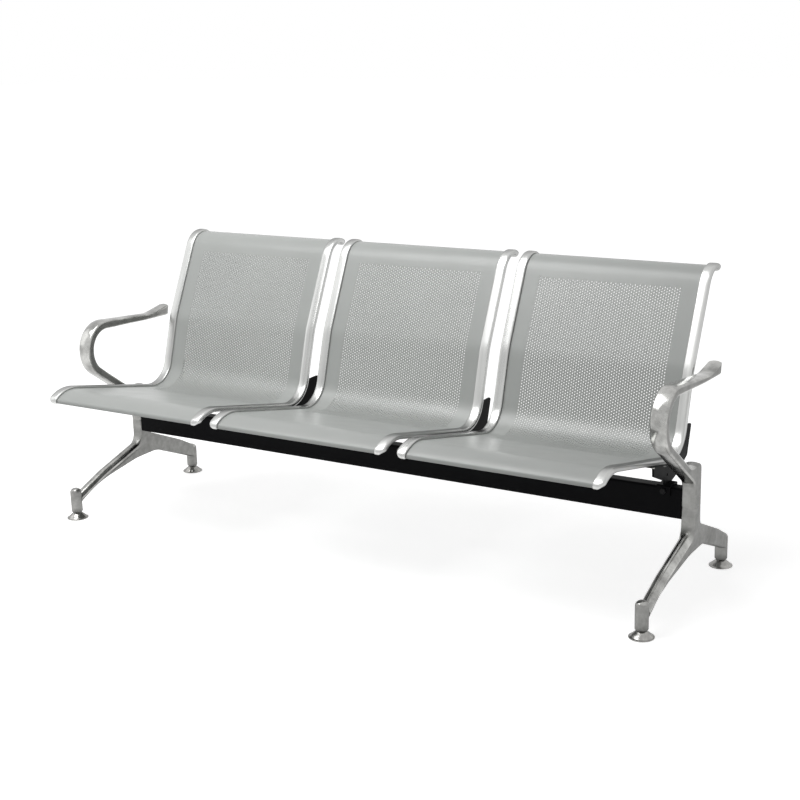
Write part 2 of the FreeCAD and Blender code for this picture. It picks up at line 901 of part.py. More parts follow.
def make_bracket_nut(name, x):
    rear = d.beam_y + d.beam_depth / 2 + d.saddle_wall
    corner_radius = d.bolt_head_flats / math.sqrt(3)
    nut_place = place(x.value, rear.value, d.bracket_bolt_z.value, REARWARD)
    block = primitive("Prism", f"{name}_block", nut_place, Circumradius=corner_radius, Height=6.5)
    bore = primitive("Cylinder", f"{name}_bore", nut_place, Radius=d.bolt_radius, Height=7)
    nut = doc.addObject("Part::Cut", name)
    nut.Base = block
    nut.Tool = bore
    return nut


def make_rail_screw(name, seat, side, across):
    spot, normal = screw_spot(seat, side, across)
    shank_place = Placement(spot, Rotation(Vector(0, 0, 1), normal))
    head_place = Placement(spot, Rotation(Vector(0, 0, 1), -normal))
    shank = primitive(
        "Cylinder", f"{name}_shank", shank_place, Radius=d.screw_radius, Height=d.screw_length - 0.2
    )
    head = primitive(
        "Cylinder", f"{name}_head", head_place, Radius=d.screw_head_radius, Height=d.screw_head_high
    )
    screw = doc.addObject("Part::Fuse", name)
    screw.Base = shank
    screw.Tool = head
    return screw


def make_end_bolt(name, x, up):
    """A round-headed bolt from behind, through the beam's wall into a tongue."""
    rear = d.beam_y + d.beam_depth / 2
    shank_place = place(x.value, rear.value, up.value, FORWARD)
    head_place = place(x.value, rear.value, up.value, REARWARD)
    shank = primitive(
        "Cylinder", f"{name}_shank", shank_place, Radius=d.bolt_radius, Height=d.end_bolt_length
    )
    head = primitive(
        "Cylinder", f"{name}_head", head_place, Radius=d.end_bolt_head_radius, Height=d.end_bolt_head_high
    )
    bolt = doc.addObject("Part::Fuse", name)
    bolt.Base = shank
    bolt.Tool = head
    return bolt


def make_seat_fasteners(seat):
    bolts = []
    nuts = []
    screws = []
    for side, hand in SIDES.items():
        x = size(SEATS[seat]) * d.seat_pitch + size(hand) * d.bracket_x
        bolts.append(make_bracket_bolt(f"{seat}_{side}_bolt", x))
        nuts.append(make_bracket_nut(f"{seat}_{side}_nut", x))
        for spot, across in SCREW_PLACES.items():
            screws.append(make_rail_screw(f"{seat}_{side}_{spot}_screw", seat, side, across))
    return [
        group(f"{seat}_bracket_bolts", bolts),
        group(f"{seat}_bracket_nuts", nuts),
        group(f"{seat}_rail_screws", screws),
    ]


def make_end_fasteners(side):
    groups = []
    for piece, up in (("arm", d.arm_bolt_z), ("leg", d.leg_bolt_z)):
        bolts = [
            make_end_bolt(f"{side}_{piece}_bolt_{index}", x, up)
            for index, x in enumerate(end_bolt_places(SIDES[side]))
        ]
        groups.append(group(f"{side}_{piece}_bolts", bolts))
    return groups


# Build
pieces = [make_beam()]
for seat in SEATS:
    pieces.append(make_shell(seat))
    for side in SIDES:
        pieces.append(make_rail(seat, side))
        pieces.append(make_bracket(seat, side))
    pieces += make_seat_fasteners(seat)
for side in SIDES:
    pieces.append(make_arm(side))
    pieces.append(make_leg(side))
    pieces += make_end_fasteners(side)
    for end in FEET:
        pieces.append(make_pad(side, end))
        pieces.append(make_stud(side, end))
doc.recompute()

# Check and write
for item in doc.Objects:
    if "Invalid" in item.State or "Error" in item.State:
        raise RuntimeError(f"{item.Label} did not build: {item.State}")
for piece in pieces:
    if piece.Shape.isNull() or not piece.Shape.isValid():
        raise RuntimeError(f"{piece.Label} has no valid shape")
    piece.Shape.exportStep(f"parts/{piece.Label}.step")
    box = piece.Shape.BoundBox
    print(
        f"{piece.Label}: {len(piece.Shape.Solids)} solid(s), {piece.Shape.Volume / 1000:.1f} cm3,"
        f" x {box.XMin:.1f} to {box.XMax:.1f}, y {box.YMin:.1f} to {box.YMax:.1f},"
        f" z {box.ZMin:.1f} to {box.ZMax:.1f}"
    )
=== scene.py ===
"""The looks of a three-seat waiting bench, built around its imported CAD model.

X runs along the bench, the sitters face -Y and +Z is up.  Sizes inside the functions
are in millimetres and angles in degrees; new_piece turns them into metres.
"""
import math

import bpy
import numpy as np
from mathutils import Matrix, Vector


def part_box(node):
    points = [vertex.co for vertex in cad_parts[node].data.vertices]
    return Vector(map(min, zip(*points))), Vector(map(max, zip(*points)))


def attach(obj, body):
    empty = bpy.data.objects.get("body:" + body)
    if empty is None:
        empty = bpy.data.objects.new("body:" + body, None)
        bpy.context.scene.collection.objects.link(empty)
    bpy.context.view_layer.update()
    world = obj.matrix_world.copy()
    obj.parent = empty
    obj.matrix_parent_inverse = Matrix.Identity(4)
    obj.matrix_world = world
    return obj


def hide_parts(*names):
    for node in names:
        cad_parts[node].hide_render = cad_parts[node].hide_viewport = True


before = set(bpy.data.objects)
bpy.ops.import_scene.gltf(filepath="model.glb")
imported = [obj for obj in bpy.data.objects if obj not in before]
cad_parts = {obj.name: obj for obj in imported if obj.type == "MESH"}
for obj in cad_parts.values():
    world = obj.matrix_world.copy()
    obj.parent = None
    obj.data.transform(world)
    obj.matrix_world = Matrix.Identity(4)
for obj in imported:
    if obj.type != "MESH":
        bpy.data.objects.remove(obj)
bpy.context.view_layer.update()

bl_info = {
    "name": "Waiting Bench",
    "version": (1, 0, 0),
    "blender": (4, 5, 0),
    "location": "View3D > Sidebar > Bench",
    "description": "Builds the pieces of a three-seat bench around its CAD frame",
    "category": "Object",
}

SEATS = {"left": -1, "centre": 0, "right": 1}
SIDES = {"left": -1, "right": 1}


def box_mm(node):
    """Lowest and highest corner of a CAD node, in millimetres."""
    low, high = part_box(node)
    return np.array(low) * 1000, np.array(high) * 1000


def centre_mm(node):
    low, high = box_mm(node)
    return (low + high) / 2


SEAT_PITCH = float(centre_mm("right_seat_shell")[0] - centre_mm("centre_seat_shell")[0])
SHELL_HALF = float(box_mm("centre_seat_shell")[1][0])
RAIL_IN = float(box_mm("centre_seat_right_rail")[0][0])
RAIL_OUT = float(box_mm("centre_seat_right_rail")[1][0])
END_X = float(centre_mm("right_front_foot_pad")[0])
FOOT_Y = {end: float(centre_mm(f"right_{end}_foot_pad")[1]) for end in ("front", "rear")}

# Settings a user would change


class BenchSeatSettings(bpy.types.PropertyGroup):
    """Perforated seat shells and their side rails."""

    sheet: bpy.props.FloatProperty(
        name="Sheet", description="Thickness of the steel sheet", default=0.002, unit="LENGTH"
    )
    hole: bpy.props.FloatProperty(
        name="Hole", description="Diameter of each hole", default=0.0034, unit="LENGTH"
    )
    pitch: bpy.props.FloatProperty(
        name="Pitch", description="Spacing of the holes along a column", default=0.0076, unit="LENGTH"
    )
    columns: bpy.props.IntProperty(
        name="Columns", description="Columns of holes across a shell", default=59
    )
    rows: bpy.props.IntProperty(
        name="Rows", description="Holes along each column of a shell", default=71
    )
    colour: bpy.props.FloatVectorProperty(
        name="Powder coat", description="Colour of the shells", subtype="COLOR",
        default=(0.400, 0.415, 0.402)
    )
    rail_colour: bpy.props.FloatVectorProperty(
        name="Rails", description="Colour of the chromed rails", subtype="COLOR",
        default=(0.57, 0.575, 0.565)
    )


class BenchFrameSettings(bpy.types.PropertyGroup):
    """Beam, brackets, end castings and feet."""

    paint: bpy.props.FloatVectorProperty(
        name="Black paint", description="Colour of the beam and brackets", subtype="COLOR",
        default=(0.008, 0.008, 0.009)
    )
    casting: bpy.props.FloatVectorProperty(
        name="Cast aluminium", description="Colour of the arms and legs", subtype="COLOR",
        default=(0.30, 0.30, 0.29)
    )
    foot: bpy.props.FloatVectorProperty(
        name="Feet", description="Colour of the plated foot pads", subtype="COLOR",
        default=(0.42, 0.415, 0.40)
    )
    edge: bpy.props.FloatProperty(
        name="Casting edge", description="Radius of the castings' edges", default=0.006, unit="LENGTH"
    )
    thread: bpy.props.FloatProperty(
        name="Thread", description="Pitch of the foot studs' thread", default=0.0015, unit="LENGTH"
    )


class BenchStageSettings(bpy.types.PropertyGroup):
    """Floor, lamps and camera."""

    lens: bpy.props.FloatProperty(name="Lens", description="Focal length in millimetres", default=64.94)
    azimuth: bpy.props.FloatProperty(
        name="Azimuth", description="Turn of the camera about the bench", subtype="ANGLE",
        default=math.radians(32.45)
    )
    elevation: bpy.props.FloatProperty(
        name="Elevation", description="Tilt of the camera above level", subtype="ANGLE",
        default=math.radians(14.47)
    )
    roll: bpy.props.FloatProperty(
        name="Roll", description="Turn of the camera about its own axis", subtype="ANGLE",
        default=math.radians(-1.42)
    )
    place: bpy.props.FloatVectorProperty(
        name="Place", description="Where the camera stands", subtype="TRANSLATION",
        default=(2.038, -3.062, 1.344)
    )
    sky: bpy.props.FloatProperty(name="Sky", description="Strength of the light from all round", default=0.32)
    key: bpy.props.FloatProperty(name="Key", description="Power of the main lamp in watts", default=61.0)
    fill: bpy.props.FloatProperty(name="Fill", description="Power of the side lamp in watts", default=10.0)


# Paths: runs of straight lines and arcs
SHARP_CORNER = 1e-6


def follow(path, along):
    """Points and headings of a path at distances along it.

    A path is a start, a heading and its runs, each a length and an angle turned.  Within a
    run the chord from its start is the distance times the sinc of half the angle turned
    so far, pointing at the mean of the two headings.
    """
    start, heading, runs = path
    lengths = np.array([run[0] for run in runs])
    turns = np.radians([run[1] for run in runs])
    ends = np.concatenate([[0], np.cumsum(lengths)])
    headings = math.radians(heading) + np.concatenate([[0], np.cumsum(turns)])
    middle = headings[:-1] + turns / 2
    chords = lengths * np.sinc(turns / 2 / np.pi)
    steps = np.stack([chords * np.cos(middle), chords * np.sin(middle)], 1)
    corners = np.array(start) + np.concatenate([[[0, 0]], np.cumsum(steps, 0)])
    along = np.asarray(along, float)
    run = np.clip(np.searchsorted(ends[1:-1], along, side="right"), 0, len(lengths) - 1)
    local = along - ends[run]
    bend = turns[run] * local / lengths[run]
    chord = local * np.sinc(bend / 2 / np.pi)
    facing = headings[run] + bend / 2
    points = corners[run] + np.stack([chord * np.cos(facing), chord * np.sin(facing)], -1)
    return points, headings[run] + bend


def marks(path):
    """Distances along a path at which its runs begin and end."""
    return np.concatenate([[0], np.cumsum([run[0] for run in path[2]])])


def cornered(corners):
    """The path through corners, each across, up and the radius that rounds it.

    Each arc takes its radius times the tangent of half the turn off both its neighbours.
    """
    corners = np.array(corners, float)
    legs = np.diff(corners[:, :2], axis=0)
    spans = np.hypot(legs[:, 0], legs[:, 1])
    headings = np.arctan2(legs[:, 1], legs[:, 0])
    turns = (np.diff(headings) + np.pi) % (2 * np.pi) - np.pi
    radii = corners[1:-1, 2]
    back = np.concatenate([[0], radii * np.tan(np.abs(turns) / 2), [0]])
    runs = [(spans[0] - back[0] - back[1], 0)]
    for index, turn in enumerate(turns):
        arc = radii[index] * abs(turn) if radii[index] > 0 else SHARP_CORNER
        runs.append((arc, math.degrees(turn)))
        runs.append((spans[index + 1] - back[index + 1] - back[index + 2], 0))
    return tuple(corners[0, :2]), math.degrees(headings[0]), runs


def spread(keys, step, least=4):
    """Distances from key to key, in steps no longer than step and at least a few per span."""
    keys = np.asarray(keys, float)
    spans = np.abs(np.diff(keys, axis=0))
    counts = np.maximum(np.ceil(spans.reshape(len(spans), -1).max(1) / step), least).astype(int)
    parts = [
        np.linspace(low, high, count, endpoint=False)
        for low, high, count in zip(keys[:-1], keys[1:], counts)
    ]
    return np.concatenate(parts + [keys[-1:]])


# Seat profile from the front lip to the top lip, in the plane of Y and Z
PAN_CORNER = (110.15, 320.6)
PAN_HEADING = -11.6
LOW_BACK_HEADING = 73.8
BACK_HEADING = 64.7
NOSE = (9, 110, 32)
FRONT = (100, 32, PAN_HEADING)
SEAT_BEND = (80, PAN_HEADING, LOW_BACK_HEADING)
LUMBAR = (200, LOW_BACK_HEADING, BACK_HEADING)
TOP = (60, BACK_HEADING, 0)
ROLL = (30, 0, -60)
PAN_LENGTH = 385.6
LOW_BACK_LENGTH = 213.9
BACK_LENGTH = 220


def arc_run(arc):
    radius, first, last = arc
    return radius * math.radians(abs(last - first)), last - first


def seat_path():
    """The middle of the sheet from the front lip to the top lip."""
    bend = SEAT_BEND[0] * math.tan(math.radians(LOW_BACK_HEADING - PAN_HEADING) / 2)
    lumbar = LUMBAR[0] * math.tan(math.radians(LOW_BACK_HEADING - BACK_HEADING) / 2)
    runs = [
        arc_run(NOSE),
        arc_run(FRONT),
        (PAN_LENGTH - bend, 0),
        arc_run(SEAT_BEND),
        (LOW_BACK_LENGTH - bend - lumbar, 0),
        arc_run(LUMBAR),
        (BACK_LENGTH - lumbar, 0),
        arc_run(TOP),
        arc_run(ROLL),
    ]
    loose = ((0, 0), NOSE[1], runs)
    pan_rear, _ = follow(loose, sum(run[0] for run in runs[:3]))
    pan = math.radians(PAN_HEADING)
    wanted = np.array(PAN_CORNER) - bend * np.array([math.cos(pan), math.sin(pan)])
    return tuple(wanted - pan_rear), NOSE[1], runs


SEAT_PATH = seat_path()

# Grids and meshes


def quads(rows, columns, wrap=False):
    """Faces between neighbouring points of a grid; wrap joins its last column to its first."""
    row, column = np.meshgrid(
        np.arange(rows - 1), np.arange(columns if wrap else columns - 1), indexing="ij"
    )
    beside = (column + 1) % columns
    corners = [
        row * columns + column,
        row * columns + beside,
        (row + 1) * columns + beside,
        (row + 1) * columns + column,
    ]
    return np.stack(corners, -1).reshape(-1, 4)


def tube(points):
    """A closed tube from a rows by columns grid of points, with a flat cap at each end."""
    rows, columns = points.shape[:2]
    last = (rows - 1) * columns
    caps = np.array([np.arange(columns)[::-1], last + np.arange(columns)])
    return points.reshape(-1, 3), [quads(rows, columns, wrap=True), caps]


def turned(profile, centre, count=48):
    """A profile of radius and height turned about the upright axis through centre.

    Its first and last points lie on the axis, so each becomes one pole.
    """
    profile = np.array(profile, float)
    angle = np.arange(count) * 2 * np.pi / count
    radius = profile[1:-1, 0][:, None]
    rings = np.stack(
        [
            centre[0] + radius * np.cos(angle),
            centre[1] + radius * np.sin(angle),
            np.broadcast_to(profile[1:-1, 1][:, None], (len(radius), count)),
        ],
        -1,
    ).reshape(-1, 3)
    poles = np.array([[*centre, profile[0, 1]], [*centre, profile[-1, 1]]])
    points = np.concatenate([rings, poles])
    ring = np.arange(count)
    beside = (ring + 1) % count
    top = (len(radius) - 1) * count
    low = np.stack([beside, ring, np.full(count, len(rings))], 1)
    high = np.stack([top + ring, top + beside, np.full(count, len(rings) + 1)], 1)
    return points, [quads(len(radius), count, wrap=True), low, high]


def joined(*solids):
    """Several meshes as one list of points and faces."""
    points = []
    faces = []
    count = 0
    for solid_points, solid_faces in solids:
        points.append(solid_points)
        faces += [group + count for group in solid_faces]
        count += len(solid_points)
    return np.concatenate(points), faces


def outward(points, faces):
    """The faces turned over if they enclose a negative volume."""
    volume = 0.0
    for group in faces:
        first = points[group[:, 0]]
        for corner in range(1, group.shape[1] - 1):
            cross = np.cross(points[group[:, corner]], points[group[:, corner + 1]])
            volume += float((first * cross).sum())
    return faces if volume > 0 else [group[:, ::-1] for group in faces]


def new_piece(name, solid, material, body, node=None, sharp=35, polish=None):
    """Make a mesh object from points in millimetres and let it ride on a CAD body.

    Polish gives each point how far its surface is polished, from 0 to 1.
    """
    points, faces = solid
    faces = outward(points, faces)
    mesh = bpy.data.meshes.new(name)
    corners = np.concatenate([group.ravel() for group in faces]).astype(np.int32)
    sizes = np.concatenate([np.full(len(group), group.shape[1]) for group in faces])
    starts = np.concatenate([[0], np.cumsum(sizes)[:-1]]).astype(np.int32)
    mesh.vertices.add(len(points))
    mesh.vertices.foreach_set("co", (points / 1000).astype(np.float32).ravel())
    mesh.loops.add(len(corners))
    mesh.loops.foreach_set("vertex_index", corners)
    mesh.polygons.add(len(sizes))
    mesh.polygons.foreach_set("loop_start", starts)
    mesh.update(calc_edges=True)
    if mesh.validate():
        raise RuntimeError(f"{name} has faces that are not valid")
    mesh.shade_smooth()
    mesh.set_sharp_from_angle(angle=math.radians(sharp))
    if polish is not None:
        layer = mesh.attributes.new("polish", "FLOAT", "POINT")
        layer.data.foreach_set("value", polish.astype(np.float32))
    mesh.materials.append(material)
    piece = bpy.data.objects.new(name, mesh)
    bpy.context.scene.collection.objects.link(piece)
    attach(piece, body)
    if node:
        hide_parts(node)
    return piece


def finish_nodes(names, material):
    """Give CAD nodes a finish; their shapes stay as they are."""
    for name in names:
        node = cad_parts[name]
        node.data.materials.clear()
        node.data.materials.append(material)


# Perforated shells
FIELD_TOP = 864.6
HOLE_CORNERS = 8


def sheet_places(sheet):
    """Distances along the profile: plain rows, half-pitch rows of the field, plain rows."""
    ends = marks(SEAT_PATH)
    half = sheet["pitch"] / 2
    field_low = FIELD_TOP - sheet["rows"] * sheet["pitch"]
    front = np.concatenate(
        [
            np.linspace(0, ends[1], 8)[:-1],
            np.linspace(ends[1], ends[2], 9)[:-1],
            [ends[2]],
        ]
    )
    field = field_low + np.arange(2 * sheet["rows"] + 1) * half
    top = np.concatenate(
        [[ends[7]], np.linspace(ends[7], ends[8], 9)[1:], np.linspace(ends[8], ends[9], 7)[1:]]
    )
    return np.concatenate([front, field, top]), len(front)


def perforated_sheet(seat, sheet):
    """A bent sheet with staggered round holes, as points and faces.

    The flat sheet is a grid: across it a line each side of every column of holes, along it
    a line every half pitch.  A hole takes two grid cells of its column, and odd columns
    start half a pitch later.  The grid follows the seat profile: a point at distance s
    and offset t lies at the profile's point at s plus t times its normal.
    """
    along, first_row = sheet_places(sheet)
    columns = sheet["columns"]
    width = sheet["pitch"] * math.sqrt(3) / 2
    field = (np.arange(columns + 1) - columns / 2) * width
    across = np.concatenate([[-SHELL_HALF], field, [SHELL_HALF]])
    rows, lines = len(along), len(across)
    grid_along, grid_across = np.meshgrid(along, across, indexing="ij")

    column, row = np.meshgrid(np.arange(columns), np.arange(sheet["rows"]), indexing="ij")
    start = first_row + 2 * row + column % 2
    kept = start + 2 <= first_row + 2 * sheet["rows"]
    column, start = column[kept], start[kept]
    angle = np.arange(HOLE_CORNERS) * 2 * np.pi / HOLE_CORNERS
    radius = sheet["hole"] / 2
    middle = (across[column + 1] + across[column + 2])[:, None] / 2
    hole_across = middle + radius * np.cos(angle)
    hole_along = along[start + 1][:, None] + radius * np.sin(angle)

    flat_along = np.concatenate([grid_along.ravel(), hole_along.ravel()])
    flat_across = np.concatenate([grid_across.ravel(), hole_across.ravel()])
    profile, heading = follow(SEAT_PATH, flat_along)
    normal = np.stack([-np.sin(heading), np.cos(heading)], 1)
    faces_at = []
    for offset in (sheet["thick"] / 2, -sheet["thick"] / 2):
        place = profile + normal * offset
        faces_at.append(np.column_stack([flat_across + SEATS[seat] * SEAT_PITCH, place]))
    points = np.concatenate(faces_at)

    corner = (start * lines + column + 1)[:, None]
    ring = np.stack(
        [
            corner,
            corner + 1,
            corner + lines + 1,
            corner + 2 * lines + 1,
            corner + 2 * lines,
            corner + lines,
        ],
        1,
    )[:, :, 0]
    hole = rows * lines + np.arange(len(column))[:, None] * HOLE_CORNERS + np.arange(HOLE_CORNERS)
    # Numbers stand for corners of the two cells, and strings for corners of the hole
    four = [
        (1, 2, "0", "7"),
        (2, 3, "1", "0"),
        (3, 4, "3", "2"),
        (4, 5, "4", "3"),
        (5, 0, "5", "4"),
        (0, 1, "7", "6"),
    ]
    three = [(3, "2", "1"), (0, "6", "5")]

    def pick(index):
        return hole[:, int(index)] if isinstance(index, str) else ring[:, index]

    around, wedges = (
        np.concatenate([np.stack([pick(index) for index in face], 1) for face in kind])
        for kind in (four, three)
    )

    plain = np.ones((rows - 1, lines - 1), bool)
    plain[start, column + 1] = False
    plain[start + 1, column + 1] = False
    cells = quads(rows, lines)[plain.ravel()]

    below = rows * lines + hole.size
    ahead = np.roll(hole, -1, 1)
    wall = np.stack([hole, ahead, ahead + below, hole + below], -1).transpose(1, 0, 2).reshape(-1, 4)
    grid = np.arange(rows * lines).reshape(rows, lines)
    rim = np.concatenate([grid[0, :], grid[1:, -1], grid[-1, -2::-1], grid[-2:0:-1, 0]])
    beside = np.roll(rim, -1)
    edge = np.stack([beside, rim, rim + below, beside + below], 1)
    upper = [cells, around, wedges]
    lower = [group[:, ::-1] + below for group in upper]
    return points, upper + lower + [wall[:, ::-1], edge]


# Seat rails
RAIL_FRONT = 7
RAIL_REAR = -6
RAIL_CORNER = 17
SLOT_HALF = 1.3


def rail_section():
    """The bar's outline, across from its inner edge and out from the sheet.

    The edge that shows most is well rounded, the inner one has a narrow bevel, and a slot
    takes the sheet.
    """
    width = RAIL_OUT - RAIL_IN
    depth = SHELL_HALF - RAIL_IN
    corners = [
        (depth, -SLOT_HALF, 0),
        (0, -SLOT_HALF, 0.5),
        (0, RAIL_REAR, 2),
        (width, RAIL_REAR, 4),
        (width, RAIL_FRONT, 5),
        (0, RAIL_FRONT, 2.6),
        (0, SLOT_HALF, 0.5),
        (depth, SLOT_HALF, 0),
    ]
    path = cornered(corners)
    ends = marks(path)
    outline, _ = follow(path, spread(ends, 6, least=1 if len(ends) < 3 else 3))
    crown = 0.7 * (1 - (2 * outline[:, 0] / width - 1) ** 2)
    outline[:, 1] += np.where(outline[:, 1] > SLOT_HALF + 1, crown - 0.7, 0)
    return outline


def seat_rail(seat, side):
    """A bar of constant section along the seat profile, with round outer corners at its ends.

    Near an end its width beyond the slot shrinks as a quarter circle of the corner's radius,
    and its thickness as a smaller quarter ellipse.
    """
    ends = marks(SEAT_PATH)
    total = ends[-1]
    tip = RAIL_CORNER * (1 - np.cos(np.linspace(0, np.pi / 2, 10)))
    inner_marks = [mark for mark in ends if tip[-1] < mark < total - tip[-1]]
    middle = spread([tip[-1], *inner_marks, total - tip[-1]], 9, least=3)
    along = np.concatenate([tip[:-1], middle, total - tip[-2::-1]])
    from_end = np.minimum(along, total - along)
    narrow = np.sqrt(1 - (1 - np.clip(from_end / RAIL_CORNER, 0, 1)) ** 2)
    thin = 0.45 + 0.55 * np.sqrt(1 - (1 - np.clip(from_end / 5, 0, 1)) ** 2)
    section = rail_section()
    depth = SHELL_HALF - RAIL_IN
    across = np.minimum(section[:, 0], depth) + np.maximum(section[:, 0] - depth, 0) * narrow[:, None]
    out = section[:, 1] * thin[:, None]
    profile, heading = follow(SEAT_PATH, along)
    normal = np.stack([-np.sin(heading), np.cos(heading)], 1)
    place = profile[:, None, :] + normal[:, None, :] * out[:, :, None]
    x = SEATS[seat] * SEAT_PITCH + SIDES[side] * (RAIL_IN + across)
    return tube(np.concatenate([x[:, :, None], place], 2))


# Beam


def beam_tube():
    """A rectangular tube with rounded corners: outer and inner outlines joined at the ends."""
    low, high = box_mm("beam")
    wall = 3
    rims = []
    for inset, radius in ((0, 5.5), (wall, 2.5)):
        y0, z0 = low[1] + inset, low[2] + inset
        y1, z1 = high[1] - inset, high[2] - inset
        middle = (y0 + y1) / 2
        corners = [
            (middle, z0, 0),
            (y1, z0, radius),
            (y1, z1, radius),
            (y0, z1, radius),
            (y0, z0, radius),
            (middle, z0, 0),
        ]
        path = cornered(corners)
        places = spread(marks(path), 200, least=5)
        outline, _ = follow(path, places[:-1])
        rims.append(outline)
    stations = [
        (rims[0], low[0] + 0.6),
        (rims[0], high[0] - 0.6),
        ((rims[0] + rims[1]) / 2, high[0]),
        (rims[1], high[0] - 0.6),
        (rims[1], low[0] + 0.6),
        ((rims[0] + rims[1]) / 2, low[0]),
        (rims[0], low[0] + 0.6),
    ]
    rings = np.array([np.column_stack([np.full(len(rim), x), rim]) for rim, x in stations])
    points = rings[:-1].reshape(-1, 3)
    faces = quads(len(rings), rings.shape[1], wrap=True) % len(points)
    return points, [faces]


# End castings
ARM_OUTSIDE = [
    (36, 226, 0),
    (36, 286.8, 25),
    (-160, 425, 83),
    (-160, 557.7, 79),
    (118, 535.8, 130),
    (203, 553.5, 10),
    (200, 537, 0),
]
ARM_INSIDE = [
    (75, 226, 0),
    (75, 331, 12),
    (8, 334, 40),
    (-137, 436.9, 60),
    (-137, 530.4, 57),
    (95, 521, 200),
    (197, 520.5, 8),
    (200, 537, 0),
]
LEG_TOP = [
    (-226, 71.4, 0),
    (-128, 113, 500),
    (36, 165, 25),
    (36, 226, 0),
    (75, 226, 0),
    (75, 180, 20),
    (218, 119, 70),
    (268, 92.3, 0),
]
LEG_BOTTOM = [
    (-226, 48, 0),
    (-150, 86, 350),
    (10, 115, 200),
    (105, 118, 110),
    (268, 51.3, 0),
]
SEAM_Z = 226
SEAM_HALF = 1.2
SEAM_DEPTH = 0.9


def distance_to(points, line):
    """Distance of each point from a line of many short straight pieces."""
    start, step = line[:-1], np.diff(line, axis=0)
    reach = points[:, None, :] - start[None]
    share = np.clip((reach * step).sum(2) / (step**2).sum(1), 0, 1)
    return np.sqrt(((reach - share[:, :, None] * step) ** 2).sum(2)).min(1)


def smooth(value):
    value = np.clip(value, 0, 1)
    return value * value * (3 - 2 * value)


def rounded(gap, half, edge):
    """Half thickness at a distance from the outline: a quarter circle, then flat."""
    edge = np.minimum(edge, half)
    return half - edge + np.sqrt(edge**2 - (edge - np.clip(gap, 0, edge)) ** 2)


def cast_bar(outer, inner, keys, hand, shape, crown):
    """A casting between two outlines, and how far each of its points is polished.

    Stations pair points of the two outlines.  Each section goes across the outer edge,
    over one side to the inner edge, across that and back over the other side.  The shape
    function takes the places and their distances from the outlines, and gives half the
    thickness there, how far the middle plane shifts sideways, and the polish.
    """
    places = spread(keys, 4.5)
    first, _ = follow(outer, places[:, 0])
    last, _ = follow(inner, places[:, 1])
    length = np.linalg.norm(last - first, axis=1)[:, None]
    band = np.minimum(9, length * 0.45)
    curve = 1 - np.cos(np.linspace(0, np.pi / 2, 8))
    middle = np.linspace(0, 1, 16)[1:-1]
    rim = band * curve / length
    share = np.concatenate([rim, (band + (length - 2 * band) * middle) / length, 1 - rim[:, ::-1]], 1)
    flat = first[:, None, :] + (last - first)[:, None, :] * share[:, :, None]
    grid = flat.shape[:2]
    lines = [
        follow(path, np.linspace(low, high, 500))[0]
        for path, (low, high) in ((outer, places[[0, -1], 0]), (inner, places[[0, -1], 1]))
    ]
    gaps = [distance_to(flat.reshape(-1, 2), line).reshape(grid) for line in lines]
    gaps[0][:, 0] = 0
    gaps[1][:, -1] = 0
    side, shift, polish = shape(flat, gaps)
    seam = np.abs(flat[:, :, 1] - SEAM_Z)
    side = side - SEAM_DEPTH * np.clip(1 - seam / SEAM_HALF, 0, 1)
    fraction = np.linspace(-1, 1, 9)[1:-1]
    swell = crown * (1 - fraction**2)

    def band_points(line, half, centre, outwards):
        place = line[:, None, :] + outwards[:, None, :] * swell[:, None]
        return np.concatenate([(centre[:, None] + half[:, None] * fraction)[:, :, None], place], 2)

    across = (first - last) / length
    outer_band = band_points(first, side[:, 0], shift[:, 0], across)
    inner_band = band_points(last, side[:, -1], shift[:, -1], -across)[:, ::-1]
    over = np.concatenate([(shift + side)[:, :, None], flat], 2)
    under = np.concatenate([(shift - side)[:, :, None], flat], 2)[:, ::-1]
    section = np.concatenate([outer_band, over, inner_band, under], 1)
    section[:, :, 0] += hand * END_X
    ends = [np.repeat(polish[:, [column]], len(fraction), 1) for column in (0, -1)]
    shine = np.concatenate([ends[0], polish, ends[1], polish[:, ::-1]], 1)
    return tube(section), shine.ravel()


ARM_HALF = 18
ARM_WIDENS = 2.4
ARM_TIP = 19


def arm_solid(side, edge):
    """The arm's loop: its front widens towards the seats, and its tip is round from above."""
    hand = SIDES[side]
    outer, inner = cornered(ARM_OUTSIDE), cornered(ARM_INSIDE)
    a, b = marks(outer), marks(inner)
    keys = [
        (a[0], b[0]),
        (a[0] + 1.3, b[0] + 1.3),
        (a[1], b[1] - 22),
        (a[2], b[2]),
        (a[2] + 34, b[3]),
        (a[2] + 66, b[4]),
        (a[3], b[5]),
        (a[4], b[6]),
        (a[5], b[7]),
        (a[6], b[8]),
        (a[7], b[9]),
        (a[8], b[10]),
        (a[9] - 12, b[11] - 12),
        (a[9], b[11]),
        (a[10], b[12]),
    ]
    tip = np.array([follow(outer, a[10])[0], follow(inner, b[12])[0]])

    def shape(flat, gaps):
        y, z = flat[:, :, 0], flat[:, :, 1]
        wide = ARM_WIDENS * smooth((z - 385) / 60) * smooth((60 - y) / 130)
        ending = distance_to(flat.reshape(-1, 2), tip).reshape(y.shape)
        taper = np.sqrt(1 - (1 - np.clip(ending / ARM_TIP, 0, 1)) ** 2)
        gap = np.minimum(gaps[0], gaps[1])
        half = rounded(gap, (ARM_HALF + wide) * (0.12 + 0.88 * taper), edge)
        loop = np.maximum(smooth((40 - y) / 15), smooth((z - 420) / 30))
        return half, -hand * wide, loop * smooth((edge - gap) / (0.4 * edge))

    return cast_bar(outer, inner, keys, hand, shape, 1.7)


LEG_RIDGE = 15


